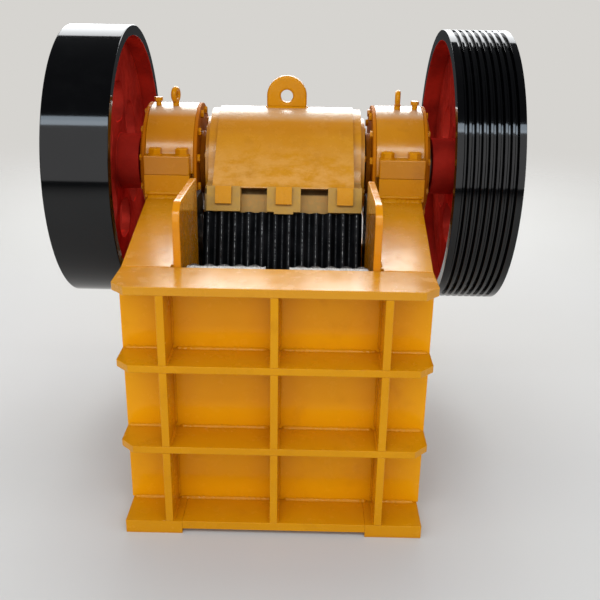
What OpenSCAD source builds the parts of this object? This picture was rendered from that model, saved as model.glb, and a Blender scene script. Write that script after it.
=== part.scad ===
/* [Overall size] */
// Width over both wheels
total_w = 1732; // [1640:2:1800]
// Distance from the front of the frame back to the shaft's axis
axis_from_front = 1121; // [1110:1:1140]
// Height of the shaft's axis
axis_h = 1040; // [1030:1:1050]
// Outer diameter of both wheels
wheel_d = 1090; // [1040:2:1120]

/* [Frame] */
// Width of the front wall and its ribs
frame_w = 1006; // [990:2:1020]
// Height of the front top flange
top_h = 887; // [880:1:895]
// Thickness of the top flanges
flange_t = 28; // [24:1:32]
// Depth of the ribs in front of the wall
rib_depth = 140; // [120:1:150]
// Thickness of the ribs
rib_t = 25; // [20:1:28]
// Underside of the lower horizontal rib
lower_rib_z = 310; // [290:1:330]
// Underside of the upper horizontal rib
upper_rib_z = 600; // [580:1:620]
// Distance of the outer upright ribs from the middle
post_x = 350; // [330:1:370]
// Chamfer on the front corners of flange and ribs
corner_cut = 45; // [30:1:60]
// Thickness of the front wall
front_wall_t = 50; // [40:1:55]
// Thickness of the side walls
side_wall_t = 38; // [30:1:40]
// Thickness of the rear wall
rear_wall_t = 40; // [30:1:50]
// Height of the rear wall's top
rear_wall_h = 640; // [600:1:660]
// Length of the frame along the ground
frame_l = 1400; // [1395:1:1410]
// Distance of the bearing seats' outer edges from the middle
seat_out = 541; // [536:1:546]

/* [Feet] */
// Width of the feet
foot_w = 190; // [150:1:200]
// Thickness of the feet
foot_t = 48; // [44:1:52]
// Ground clearance of the sills between the feet
sill_gap = 18; // [12:1:20]
// Diameter of the foundation bolt holes
foundation_hole_d = 36; // [24:1:40]

/* [Crushing chamber] */
// Clear width between the side liners
chamber_w = 618; // [617:1:620]
// Thickness of the side liners
cheek_t = 25; // [20:1:26]
// Height that the feed guards reach at the front
guard_h = 1095; // [1080:1:1110]
// Thickness of the fixed jaw plate with its teeth
fixed_jaw_t = 68; // [60:1:72]
// Depth of the teeth
tooth_h = 22; // [16:1:24]
// Number of teeth on a jaw plate
tooth_count = 12; // [12:1:13]
// Width of the moving jaw
jaw_w = 600; // [596:1:602]
// Width of the moving jaw plate
jaw_plate_w = 607; // [600:1:607]
// Feed opening at the height of the top flange
gape = 400; // [390:1:410]
// Lean of the moving jaw from upright, in degrees
jaw_angle = 23; // [22.5:0.1:23.5]
// Thickness of the moving jaw plate with its teeth
moving_jaw_t = 80; // [70:1:84]

/* [Shaft and bearings] */
// Offset of the eccentric from the shaft's axis
eccentricity = 10; // [8:1:12]
// Diameter of the shaft in the main bearings
journal_d = 150; // [140:1:154]
// Diameter of the eccentric inside the moving jaw
eccentric_d = 180; // [178:1:190]
// Diameter of the shaft's ends inside the hubs
shaft_end_d = 130; // [110:1:136]
// Running clearance round the shaft, on the radius
running_gap = 0.06; // [0.04:0.01:0.08]
// Outer radius of the bearing caps
cap_r = 243; // [236:1:246]
// Inner face of the bearing housings, from the middle
housing_in = 371; // [371:1:374]
// Width of the bearing housings
housing_w = 178; // [172:1:184]
// Thickness of the flanges of the bearings' end covers
cover_t = 13; // [10:1:15]
// Height of the housing's ears above the axis
ear_h = 74; // [60:1:80]
// Reach of the ears in front of and behind the axis
ear_reach = 271; // [266:1:276]
// Outer radius of the moving jaw's barrel
barrel_r = 243; // [236:1:246]
// Radius of the rings on the barrel's ends
jaw_ring_r = 200; // [180:1:210]
// Thickness of the rings on the barrel's ends
jaw_ring_t = 17; // [12:1:18]

/* [Wheels] */
// Width of the wheels' rims
rim_w = 246; // [240:1:250]
// Radial thickness of the rims
rim_t = 42; // [36:1:46]
// Thickness of the wheels' webs
web_t = 40; // [30:1:50]
// Depth of the web's recess from the rim's inner edge
web_recess = 74; // [60:1:90]
// Outer diameter of the hubs
hub_d = 230; // [210:1:240]
// Number of windows in each wheel
window_count = 6; // [5:1:6]
// Number of belt grooves
groove_count = 8; // [7:1:8]
// Depth of the belt grooves
groove_depth = 17; // [12:1:20]

/* [Hidden] */
$fn = 64;
paint = [0.84, 0.59, 0.06];
gloss_black = [0.05, 0.05, 0.06];
wheel_red = [0.5, 0.06, 0.05];
liner_black = [0.1, 0.1, 0.11];
bare_steel = [0.5, 0.5, 0.52];

length = axis_from_front + wheel_d / 2;
front_y = -length / 2;
half_w = frame_w / 2;
wall_y = rib_depth;
wall_back_y = rib_depth + front_wall_t;
flange_z = top_h - flange_t;
liner_x = chamber_w / 2;
side_x = liner_x + cheek_t;
side_out_x = side_x + side_wall_t;
foot_in_x = half_w - 5 - foot_w;
hole_from_post = 85;
hole_from_front = 260;
hole_from_back = 180;
hole_x = post_x + hole_from_post;
hole_ys = [hole_from_front, frame_l - hole_from_back];

rear_y = frame_l - rib_depth / 2;
rear_wall_y = rear_y - rear_wall_t;
rear_rib_y = frame_l - 10;
rear_rows = [[foot_t, lower_rib_z], [lower_rib_z + rib_t, rear_wall_h - rib_t]];

seat_drop = 90;
wall_shoulder = 160;
seat_z = axis_h - seat_drop;
seat_front_margin = 15;
seat_back_margin = 8;
seat_front_y = axis_from_front - ear_reach - seat_front_margin;
seat_back_y = axis_from_front + ear_reach + seat_back_margin;
first_side_post_y = 520;
housing_post_inset = 40;
side_post_ys = [
    first_side_post_y, seat_front_y + housing_post_inset, axis_from_front - rib_t / 2, rear_y - rib_t];
housing_out = housing_in + housing_w;
cylinder_in = housing_in - 12;
lower_housing_r = cap_r - 30;
cover_gap = 4;
inner_collar_r = 130;
inner_collar_l = 19;
outer_collar_r = 198;
outer_collar_l = 14;
cover_bore_r = journal_d / 2 + 3;
eyebolt_x = 448;
plug_x = 518;
fitting_y = axis_from_front - 45;
fitting_z = axis_h + sqrt(cap_r * cap_r - pow(axis_from_front - fitting_y, 2));

fit = 0.1;
smooth = 96;

guard_back_y = 600;
guard_depth = 142;
guard_low_z = top_h - guard_depth;
guard_drop = 8;
guard_corner_r = 62;
cheek_back_y = 765;
cheek_top_z = 1010;
cheek_foot_y = 440;
chamber_low_z = 130;
fixed_face_y = wall_back_y + fixed_jaw_t;
fixed_top_z = top_h - 9;
notch_w = 76;
notch_h = 22;

jaw_top = [fixed_face_y + gape, top_h];
jaw_down = [-sin(jaw_angle), -cos(jaw_angle)];
jaw_back = [cos(jaw_angle), -sin(jaw_angle)];
plate_top = -62;
plate_foot = 790;
jaw_foot = plate_foot + 42;
casting_back = 140;
panel_depth = 20;
step_depth = 50;
end_w = 32;
end_step = 8;
clamp_top = -156;
clamp_front = -12;
clamp_w = 126;
clamp_xs = [-222, 4, 233];
web_w = 36;
web_x = 94;
web_front_angle = 60;
web_rear_angle = 245;
barrel_z = axis_h - eccentricity;
barrel_centre = [axis_from_front, barrel_z];
lug_r = 81;
lug_hole_r = 25;
lug_t = 40;
lug_z = barrel_z + barrel_r + 45;

swing_gap = eccentricity + 6;
toggle_end_r = 28;
toggle_w = 540;
toggle_front = [735, 330];
seat_from_back = 280;
seat_y = frame_l - seat_from_back;
toggle_rear = [seat_y, 405];
seat_low_z = 330;
seat_top_z = 480;
shelf_t = 40;
shim_t = 50;
boss_y = toggle_front[0] - 75;
boss_low_z = 262;
boss_top_z = 408;
jaw_seat_w = 560;

rod_x = 150;
rod_z = 190;
rod_r = 18;
rod_eye_y = 640;
rod_overhang = 225;
rod_end_y = frame_l + rod_overhang;
rod_pin_r = 14;
rod_eye_w = 42;
rod_ear_t = 12;
rod_ear_r = 30;
spring_l = 210;
spring_r = 46;
spring_hole_r = 26;
nut_r = 30;

wheel_in_x = total_w / 2 - rim_w;
hub_in = 600;
hub_out = total_w / 2 - 36;
window_r = 80;
window_mid_r = hub_d / 2 + 52 + window_r;
window_arc = 360 / window_count - 49;
groove_edge = 20;

// A point in the side view: s down along the moving jaw's face from the feed opening, t behind that face
function jaw_point(s, t) = jaw_top + s * jaw_down + t * jaw_back;

// A point inside the moving jaw's barrel, given by its angle from straight forward and its depth
function barrel_point(a, depth) = barrel_centre + (barrel_r - depth) * [-cos(a), sin(a)];

// Moves a piece drawn from the frame's front so that the part's middle is at the origin
module from_front() {
    translate([0, front_y, 0]) children();
}

// Mirrors a piece drawn on the right to the left
module on_side(side) {
    mirror([side < 0 ? 1 : 0, 0, 0]) children();
}

// Extrudes a side view, drawn as (distance from front, height), from x0 to x1
module side_view(x0, x1) {
    translate([x0, 0, 0]) rotate([90, 0, 90]) linear_extrude(x1 - x0) children();
}

// A box between two corners
module block(low, high) {
    translate(low) cube(high - low);
}

// A round bar along X between x0 and x1
module bar_x(x0, x1, r, y = axis_from_front, z = axis_h) {
    translate([x0, y, z]) rotate([0, 90, 0]) cylinder(h = x1 - x0, r = r, $fn = smooth);
}

// A flat plate seen from above, with both front corners cut off
module chamfered_plate(z0, z1, back_y) {
    translate([0, 0, z0]) linear_extrude(z1 - z0) polygon([
        [-half_w, back_y], [-half_w, corner_cut], [-half_w + corner_cut, 0],
        [half_w - corner_cut, 0], [half_w, corner_cut], [half_w, back_y]]);
}

module front_wall() {
    color(paint) from_front() block([-half_w, wall_y, foot_t], [half_w, wall_back_y, flange_z]);
}

module front_top_flange() {
    color(paint) from_front() chamfered_plate(flange_z, top_h, wall_back_y);
}

module front_rib_upper() {
    color(paint) from_front() chamfered_plate(upper_rib_z, upper_rib_z + rib_t, wall_y);
}

module front_rib_lower() {
    color(paint) from_front() chamfered_plate(lower_rib_z, lower_rib_z + rib_t, wall_y);
}

// Three columns of upright ribs, each cut into three by the horizontal ribs
module front_posts() {
    color(paint) from_front() for (x = [-post_x, 0, post_x], row = rib_rows(flange_z))
        block([x - rib_t / 2, 0, row[0]], [x + rib_t / 2, wall_y, row[1]]);
}

// Heights between which an upright rib runs, up to the given top
function rib_rows(top) = [
    [foot_t, lower_rib_z], [lower_rib_z + rib_t, upper_rib_z], [upper_rib_z + rib_t, top]];

// The side wall's outline
module side_wall_outline() {
    polygon([
        [wall_back_y, foot_t], [wall_back_y, flange_z], [seat_front_y, seat_z - flange_t],
        [seat_back_y, seat_z - flange_t], [seat_back_y, seat_z - wall_shoulder],
        [rear_y, rear_wall_h], [rear_y, foot_t]]);
}

module side_wall(side) {
    color(paint) from_front() on_side(side) difference() {
        side_view(side_x, side_out_x) side_wall_outline();
        bar_x(side_x - 1, side_out_x + 1, cap_r + cover_gap);
    }
}

// The flange that rises from the front and becomes the bearing's seat
module side_flange(side) {
    color(paint) from_front() on_side(side) difference() {
        intersection() {
            side_view(side_x, seat_out) polygon([
                [wall_back_y, flange_z], [wall_back_y, top_h], [seat_front_y, seat_z],
                [seat_back_y, seat_z], [seat_back_y, seat_z - flange_t], [seat_front_y, seat_z - flange_t]]);
            linear_extrude(2 * axis_h) polygon([
                [side_x, 0], [half_w, 0], [half_w, wall_back_y], [seat_out, seat_front_y],
                [seat_out, seat_back_y], [side_x, seat_back_y]]);
        }
        block([side_x - 1, wall_back_y - 1, flange_z - 1], [side_x + 9, wall_back_y + 20, top_h + 10]);
        bar_x(side_x - 1, side_out_x, cap_r + cover_gap);
        bar_x(side_x - 1, seat_out + 1, lower_housing_r + fit);
    }
}

// Two ribs along the outside of each side wall
module side_rails() {
    color(paint) from_front() for (side = [-1, 1], z = [lower_rib_z, upper_rib_z]) on_side(side)
        block([side_out_x, wall_back_y, z], [half_w, rear_y, z + rib_t]);
}

// Upright ribs outside the side walls, each cut by the two long ones
module side_posts() {
    color(paint) from_front() for (side = [-1, 1]) on_side(side) difference() {
        intersection() {
            for (y = side_post_ys, row = rib_rows(axis_h))
                block([side_out_x, y, row[0]], [half_w, y + rib_t, row[1]]);
            side_view(side_out_x, half_w) side_wall_outline();
        }
        bar_x(side_out_x - 1, half_w + 1, lower_housing_r + fit);
    }
}

module rear_wall() {
    color(paint) from_front() difference() {
        block([-side_x, rear_wall_y, foot_t], [side_x, rear_y, rear_wall_h]);
        for (x = [-rod_x, rod_x])
            bar_y(rear_wall_y - 1, rear_y + 1, rod_r + 6, x, rod_z);
    }
}

// Ribs along the back of the rear wall
module rear_rails() {
    color(paint) from_front() for (z = [lower_rib_z, rear_wall_h - rib_t])
        block([-side_out_x, rear_y, z], [side_out_x, rear_rib_y, z + rib_t]);
}

// Upright ribs on the back of the rear wall, cut by the ones along it
module rear_posts() {
    color(paint) from_front() for (x = [-side_x, 0, side_x], row = rear_rows)
        block([x - rib_t / 2, rear_y, row[0]], [x + rib_t / 2, rear_rib_y, row[1]]);
}

// A foot runs along each side, under the wall and its ribs
module foot(side) {
    color(paint) from_front() on_side(side) difference() {
        block([foot_in_x, 0, 0], [half_w - 5, frame_l, foot_t]);
        for (y = hole_ys)
            translate([hole_x, y, -1]) cylinder(h = foot_t + 2, d = foundation_hole_d);
    }
}

module front_sill() {
    color(paint) from_front() block([-foot_in_x, 0, sill_gap], [foot_in_x, wall_back_y, foot_t]);
}

module rear_sill() {
    color(paint) from_front() block([-foot_in_x, rear_wall_y, sill_gap], [foot_in_x, frame_l, foot_t]);
}

// The guard goes down into the chamber, stands on the liner and keeps stones off the bearing
module feed_guard(side) {
    front = wall_back_y + fit;
    corner_y = front + guard_corner_r;
    corner_z = guard_h - guard_corner_r;
    color(paint) from_front() on_side(side) union() {
        side_view(liner_x, side_x) polygon([
            [front, guard_low_z], [front, corner_z], [corner_y, corner_z], [corner_y, guard_h],
            [corner_y + 10, guard_h], [guard_back_y, guard_h - guard_drop], [guard_back_y, guard_low_z]]);
        bar_x(liner_x, side_x, guard_corner_r, corner_y, corner_z);
    }
}

// Wear plate on the side of the crushing chamber, under the guard and behind it
module side_liner(side) {
    behind = guard_back_y + fit;
    color(liner_black) from_front() on_side(side) side_view(liner_x, side_x)
        polygon([[wall_back_y + fit, chamber_low_z], [wall_back_y + fit, guard_low_z],
            [behind, guard_low_z], [behind, cheek_top_z], [cheek_back_y - 30, cheek_top_z],
            [cheek_back_y, cheek_top_z - 30], [cheek_back_y, guard_low_z], [cheek_foot_y, chamber_low_z]]);
}

// Vertical teeth across a jaw plate of the given width, seen from above
module tooth_profile(width, thick) {
    pitch = width / tooth_count;
    polygon(concat(
        [[-width / 2, 0]],
        [for (i = [0:tooth_count - 1], k = [0:3])
            [-width / 2 + pitch * (i + [0.08, 0.36, 0.64, 0.92][k]),
                thick - tooth_h + tooth_h * [0, 1, 1, 0][k]]],
        [[width / 2, 0]]));
}

// The fixed jaw plate stands on the wall's back and has a notch for lifting it out
module fixed_jaw_plate() {
    color(liner_black) from_front() difference() {
        translate([0, wall_back_y, chamber_low_z])
            linear_extrude(fixed_top_z - chamber_low_z) tooth_profile(jaw_w, fixed_jaw_t);
        block([-notch_w / 2, wall_back_y - 1, fixed_top_z - notch_h],
            [notch_w / 2, fixed_face_y + 1, fixed_top_z + 1]);
    }
}

// Lower half of a bearing housing, let down into the side frame
module bearing_housing(side) {
    color(paint) from_front() on_side(side) difference() {
        union() {
            block([housing_in, axis_from_front - ear_reach, seat_z],
                [housing_out, axis_from_front + ear_reach, axis_h]);
            bar_x(cylinder_in, housing_out, lower_housing_r);
        }
        block([cylinder_in - 1, 0, axis_h], [housing_out + 1, 2 * axis_from_front, 2 * axis_h]);
        bar_x(cylinder_in - 1, housing_out + 1, journal_d / 2 + running_gap);
    }
}

module bearing_cap(side) {
    color(paint) from_front() on_side(side) difference() {
        union() {
            block([housing_in, axis_from_front - ear_reach, axis_h],
                [housing_out, axis_from_front + ear_reach, axis_h + ear_h]);
            bar_x(cylinder_in, housing_out, cap_r);
        }
        block([cylinder_in - 1, 0, 0], [housing_out + 1, 2 * axis_from_front, axis_h]);
        bar_x(cylinder_in - 1, housing_out + 1, journal_d / 2 + running_gap);
    }
}

// The end covers on both faces of a bearing housing, each a round flange with a collar
module bearing_covers(side) {
    inner_face = cylinder_in - cover_t;
    outer_face = housing_out + cover_t;
    color(paint) from_front() on_side(side) difference() {
        union() {
            bar_x(inner_face, cylinder_in, cap_r);
            bar_x(inner_face - inner_collar_l, inner_face + 1, inner_collar_r);
            bar_x(housing_out, outer_face, cap_r);
            bar_x(outer_face - 1, outer_face + outer_collar_l, outer_collar_r);
        }
        bar_x(inner_face - inner_collar_l - 1, outer_face + outer_collar_l + 1, cover_bore_r);
    }
}

// Lifting eye on each bearing cap, screwed in until it stood about along the machine
module cap_eyebolts() {
    wire_r = 11;
    ring_r = 22;
    shank_r = 13;
    shank_l = 20;
    turns = [76, 84];
    color(paint) from_front() for (i = [0, 1]) difference() {
        translate([[-eyebolt_x, eyebolt_x][i], fitting_y, fitting_z]) union() {
            translate([0, 0, -6]) cylinder(h = shank_l + 6, r = shank_r);
            translate([0, 0, shank_l + ring_r]) rotate([90, 0, turns[i]])
                rotate_extrude($fn = smooth) translate([ring_r, 0]) circle(r = wire_r);
        }
        bar_x(-half_w, half_w, cap_r + fit);
    }
}

// A plug in the filling hole of each bearing cap
module grease_plugs() {
    neck_r = 11;
    neck_l = 18;
    head_r = 17;
    head_h = 14;
    color(paint) from_front() for (x = [-plug_x, plug_x]) difference() {
        translate([x, fitting_y, fitting_z]) union() {
            translate([0, 0, -6]) cylinder(h = neck_l + 6, r = neck_r);
            translate([0, 0, neck_l - 1]) cylinder(h = head_h + 1, r = head_r, $fn = 6);
        }
        bar_x(x - head_r, x + head_r, cap_r + fit);
    }
}

// Shelves between the side walls that carry the rear toggle seat
module toggle_shelves() {
    color(paint) from_front() for (z = [seat_low_z - shelf_t, seat_top_z])
        block([-side_x, seat_y + 30, z], [side_x, rear_wall_y, z + shelf_t]);
}

module toggle_seat() {
    half = toggle_w / 2 + 25;
    color(paint) from_front() difference() {
        block([-half, seat_y, seat_low_z], [half, rear_wall_y - shim_t, seat_top_z]);
        bar_x(-half - 1, half + 1, toggle_end_r + fit, seat_y, toggle_rear[1]);
    }
}

// The shims that set how wide the jaws' gap is
module toggle_shims() {
    half = toggle_w / 2 + 20;
    color(bare_steel) from_front() block([-half, rear_wall_y - shim_t, seat_low_z + 5],
        [half, rear_wall_y, seat_top_z - 5]);
}

// A plate with round edges: one in the rear seat, the other next to the moving jaw's seat
module toggle_plate() {
    run = toggle_rear - toggle_front;
    half = toggle_w / 2;
    thick = 40;
    color(bare_steel) from_front() union() {
        side_view(-half, half) translate(toggle_front) rotate(atan2(run[1], run[0]))
            translate([0, -thick / 2]) square([norm(run), thick]);
        bar_x(-half, half, toggle_end_r, toggle_front[0], toggle_front[1]);
        bar_x(-half, half, toggle_end_r, toggle_rear[0], toggle_rear[1]);
    }
}

// A round bar along the machine between y0 and y1
module bar_y(y0, y1, r, x, z, sides = smooth) {
    translate([x, y1, z]) rotate([90, 0, 0]) cylinder(h = y1 - y0, r = r, $fn = sides);
}

// Rods that pull the moving jaw back, each with an eye in front and a washer and two nuts behind
module tension_rods() {
    eye_r = rod_pin_r + swing_gap;
    washer_y = rear_y + spring_l;
    washer_t = 14;
    nut_t = 26;
    color(bare_steel) from_front() for (x = [-rod_x, rod_x]) difference() {
        union() {
            bar_y(rod_eye_y + eye_r + 8, rod_end_y, rod_r, x, rod_z);
            bar_x(x - rod_eye_w / 2, x + rod_eye_w / 2, eye_r + 16, rod_eye_y, rod_z);
            bar_y(washer_y, washer_y + washer_t, spring_r + 6, x, rod_z);
            bar_y(washer_y + washer_t, washer_y + washer_t + nut_t, nut_r, x, rod_z, 6);
            bar_y(washer_y + washer_t + nut_t + 3, washer_y + washer_t + 2 * nut_t, nut_r, x, rod_z, 6);
        }
        bar_x(x - rod_eye_w, x + rod_eye_w, eye_r, rod_eye_y, rod_z);
    }
}

module springs() {
    color(liner_black) from_front() for (x = [-rod_x, rod_x]) difference() {
        bar_y(rear_y, rear_y + spring_l, spring_r, x, rod_z);
        bar_y(rear_y - 1, rear_y + spring_l + 1, spring_hole_r, x, rod_z);
    }
}

// Shaft with its eccentric middle
module eccentric_shaft() {
    end_x = total_w / 2 - 30;
    color(bare_steel) from_front() union() {
        bar_x(-jaw_w / 2 + 1, jaw_w / 2 - 1, eccentric_d / 2, axis_from_front, barrel_z);
        bar_x(-hub_in, hub_in, journal_d / 2);
        bar_x(-end_x, end_x, shaft_end_d / 2);
    }
}

// Half section of a wheel: its rim, given as an outline, with a recessed web and a hub
module wheel_section(rim) {
    inner_r = wheel_d / 2 - rim_t;
    hub_r = hub_d / 2;
    bore_r = shaft_end_d / 2 + running_gap;
    union() {
        polygon(rim);
        translate([hub_r - 10, web_recess]) square([inner_r - hub_r + 20, web_t]);
        translate([bore_r, hub_in - wheel_in_x]) square([hub_r - bore_r, hub_out - hub_in]);
    }
}

// Windows between the spokes, each a curved slot with round ends
module wheel_windows() {
    for (i = [0:window_count - 1]) rotate([0, 0, i * 360 / window_count]) {
        rotate([0, 0, -window_arc / 2]) rotate_extrude(angle = window_arc)
            translate([window_mid_r - window_r, 0]) square([2 * window_r, rim_w]);
        for (a = [-window_arc / 2, window_arc / 2]) rotate([0, 0, a])
            translate([window_mid_r, 0, 0]) cylinder(h = rim_w, r = window_r);
    }
}

// Stands a wheel, drawn lying on its inner face, on the shaft
module wheel_at(side) {
    from_front() on_side(side) translate([wheel_in_x, axis_from_front, axis_h]) rotate([0, 90, 0]) children();
}

module flywheel() {
    r = wheel_d / 2;
    color(wheel_red) wheel_at(-1) difference() {
        rotate_extrude($fn = smooth) wheel_section([[r - rim_t, 0], [r, 0], [r, rim_w], [r - rim_t, rim_w]]);
        wheel_windows();
    }
}

// Rim outline with V grooves between two plain edges
function grooved_rim(r, pitch) = concat(
    [[r - rim_t, 0], [r, 0]],
    [for (i = [0:groove_count - 1], k = [0:3])
        [r - groove_depth * [0, 1, 1, 0][k], groove_edge + pitch * (i + [0.18, 0.36, 0.64, 0.82][k])]],
    [[r, rim_w], [r - rim_t, rim_w]]);

module belt_pulley() {
    r = wheel_d / 2;
    pitch = (rim_w - 2 * groove_edge) / groove_count;
    color(wheel_red) wheel_at(1) difference() {
        rotate_extrude($fn = smooth) wheel_section(grooved_rim(r, pitch));
        wheel_windows();
    }
}

// The moving jaw's front: the panel under the barrel, if any, the step for the plate and the lip at its foot
module jaw_front_outline(panel) {
    polygon(concat(panel, [
        jaw_point(clamp_top, step_depth), jaw_point(plate_top - fit, step_depth),
        jaw_point(plate_top - fit, moving_jaw_t + fit), jaw_point(plate_foot + fit, moving_jaw_t + fit),
        jaw_point(plate_foot + fit, moving_jaw_t / 2), jaw_point(jaw_foot, moving_jaw_t / 2),
        jaw_point(jaw_foot, casting_back), jaw_point(-40, casting_back), barrel_centre]));
}

// The moving jaw's webs, which run from the barrel to the boss of the toggle's seat
module jaw_web_outline() {
    polygon([
        barrel_point(web_front_angle, end_step + 4), jaw_point(plate_top, casting_back - 30),
        jaw_point(plate_foot, casting_back - 30), jaw_point(plate_foot, casting_back - 10),
        [boss_y, boss_low_z], [boss_y, boss_top_z], barrel_point(web_rear_angle, end_step + 4)]);
}

// The boss behind the moving jaw's front that carries the toggle's seat
module jaw_boss_outline() {
    polygon([
        jaw_point(560, casting_back - 20), jaw_point(700, casting_back - 20),
        [boss_y, boss_low_z], [boss_y, boss_top_z]]);
}

// An ear that holds the pin of a tension rod
module rod_ear_outline() {
    pin_z = rod_z - eccentricity;
    union() {
        polygon([jaw_point(640, casting_back - 20), jaw_point(790, casting_back - 10),
            [rod_eye_y, pin_z - rod_ear_r], [rod_eye_y, pin_z + rod_ear_r]]);
        translate([rod_eye_y, pin_z]) circle(r = rod_ear_r);
    }
}

// The moving jaw is one casting: a barrel round the eccentric, a front plate and webs behind it
module moving_jaw() {
    half = jaw_w / 2;
    panel_half = half - end_w;
    panel = [barrel_point(50, 2), jaw_point(clamp_top - 10, panel_depth), jaw_point(clamp_top, panel_depth)];
    ear_x = rod_eye_w / 2 + 8;
    pin_l = ear_x + rod_ear_t / 2;
    color(paint) from_front() difference() {
        union() {
            side_view(-panel_half, panel_half) jaw_front_outline(panel);
            side_view(-half, half) jaw_front_outline([]);
            bar_x(-panel_half, panel_half, barrel_r, axis_from_front, barrel_z);
            bar_x(-half, half, barrel_r - end_step, axis_from_front, barrel_z);
            bar_x(-half - jaw_ring_t, half + jaw_ring_t, jaw_ring_r, axis_from_front, barrel_z);
            for (x = [-half, -web_x - web_w / 2, web_x - web_w / 2, half - web_w])
                side_view(x, x + web_w) jaw_web_outline();
            side_view(-jaw_seat_w / 2, jaw_seat_w / 2) jaw_boss_outline();
            for (x = [-rod_x, rod_x], ear = [-ear_x - rod_ear_t, ear_x])
                side_view(x + ear, x + ear + rod_ear_t) rod_ear_outline();
            for (x = [-rod_x, rod_x])
                bar_x(x - pin_l, x + pin_l, rod_pin_r, rod_eye_y, rod_z - eccentricity);
        }
        bar_x(-half, half, eccentric_d / 2 + running_gap, axis_from_front, barrel_z);
        for (x = [-half - jaw_ring_t - 1, half])
            bar_x(x, x + jaw_ring_t + 1, journal_d / 2 + swing_gap, axis_from_front, barrel_z);
    }
}

module jaw_lifting_lug() {
    back_y = axis_from_front + lug_t / 2;
    color(paint) from_front() difference() {
        union() {
            bar_y(back_y - lug_t, back_y, lug_r, 0, lug_z);
            block([-lug_r, back_y - lug_t, barrel_z + barrel_r - 20], [lug_r, back_y, lug_z]);
        }
        bar_y(back_y - lug_t - 1, back_y + 1, lug_hole_r, 0, lug_z);
        bar_x(-lug_r - 1, lug_r + 1, barrel_r + fit, axis_from_front, barrel_z);
    }
}

module moving_jaw_plate() {
    foot = jaw_point(plate_foot, moving_jaw_t);
    color(liner_black) from_front() translate([0, foot[0], foot[1]]) rotate([-jaw_angle, 0, 0])
        mirror([0, 1, 0]) linear_extrude(plate_foot - plate_top) tooth_profile(jaw_plate_w, moving_jaw_t);
}

// Three clamps on the top edge of the moving jaw plate; the middle one also reaches over its front
module jaw_clamps() {
    block_w = 60;
    block_low = plate_top - 26;
    block_front = clamp_front - 14;
    tongue_w = 72;
    tongue_low = plate_top + 8;
    low = plate_top - 2 * fit;
    top = clamp_top + fit;
    color(paint) from_front() {
        for (x = clamp_xs) side_view(x - clamp_w / 2, x + clamp_w / 2) polygon([
            jaw_point(top, clamp_front), jaw_point(low, clamp_front),
            jaw_point(low, step_depth - fit), jaw_point(top, step_depth - fit)]);
        for (x = clamp_xs) side_view(x - block_w / 2, x + block_w / 2) polygon([
            jaw_point(top + 2, block_front), jaw_point(block_low, block_front),
            jaw_point(block_low, clamp_front + 1), jaw_point(top + 2, clamp_front + 1)]);
        side_view(clamp_xs[1] - tongue_w / 2, clamp_xs[1] + tongue_w / 2) polygon([
            jaw_point(low - 1, clamp_front), jaw_point(tongue_low, clamp_front),
            jaw_point(tongue_low, -fit), jaw_point(low - 1, -fit)]);
    }
}

// The hardened seat in front of the toggle's front edge
module jaw_toggle_seat() {
    half = jaw_seat_w / 2;
    groove_z = toggle_front[1] - eccentricity;
    color(paint) from_front() difference() {
        block([-half, boss_y + fit, boss_low_z + 4], [half, toggle_front[0] - 15, boss_top_z - 4]);
        bar_x(-half - 1, half + 1, toggle_end_r + swing_gap, toggle_front[0], groove_z);
    }
}

front_wall();
front_top_flange();
front_rib_upper();
front_rib_lower();
front_posts();
side_wall(-1);  // side_wall_left
side_wall(1);  // side_wall_right
side_flange(-1);  // side_flange_left
side_flange(1);  // side_flange_right
side_rails();
side_posts();
rear_wall();
rear_rails();
rear_posts();
foot(-1);  // foot_left
foot(1);  // foot_right
front_sill();
rear_sill();
feed_guard(-1);  // feed_guard_left
feed_guard(1);  // feed_guard_right
side_liner(-1);  // side_liner_left
side_liner(1);  // side_liner_right
fixed_jaw_plate();
bearing_housing(-1);  // bearing_housing_left
bearing_housing(1);  // bearing_housing_right
bearing_cap(-1);  // bearing_cap_left
bearing_cap(1);  // bearing_cap_right
bearing_covers(-1);  // bearing_covers_left
bearing_covers(1);  // bearing_covers_right
cap_eyebolts();
grease_plugs();
toggle_shelves();
toggle_seat();
toggle_shims();
toggle_plate();
tension_rods();
springs();
eccentric_shaft();
flywheel();
belt_pulley();
moving_jaw();
jaw_lifting_lug();
moving_jaw_plate();
jaw_clamps();
jaw_toggle_seat();
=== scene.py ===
import math
import random

import bmesh
import bpy
from mathutils import Matrix, Vector


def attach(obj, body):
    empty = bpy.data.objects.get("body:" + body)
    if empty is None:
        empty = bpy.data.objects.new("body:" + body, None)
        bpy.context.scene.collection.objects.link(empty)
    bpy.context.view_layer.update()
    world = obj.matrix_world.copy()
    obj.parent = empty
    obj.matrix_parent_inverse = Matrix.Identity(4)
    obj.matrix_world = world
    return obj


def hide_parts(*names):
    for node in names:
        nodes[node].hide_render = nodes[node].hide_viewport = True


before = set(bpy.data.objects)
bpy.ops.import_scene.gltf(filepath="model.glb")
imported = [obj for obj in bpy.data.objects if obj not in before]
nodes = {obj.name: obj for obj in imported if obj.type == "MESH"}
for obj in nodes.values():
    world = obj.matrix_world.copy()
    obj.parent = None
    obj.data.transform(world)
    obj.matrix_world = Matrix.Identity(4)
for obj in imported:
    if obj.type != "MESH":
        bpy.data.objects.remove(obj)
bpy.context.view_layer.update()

# The frame's front in the scene, in metres
FRONT = -0.833

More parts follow.
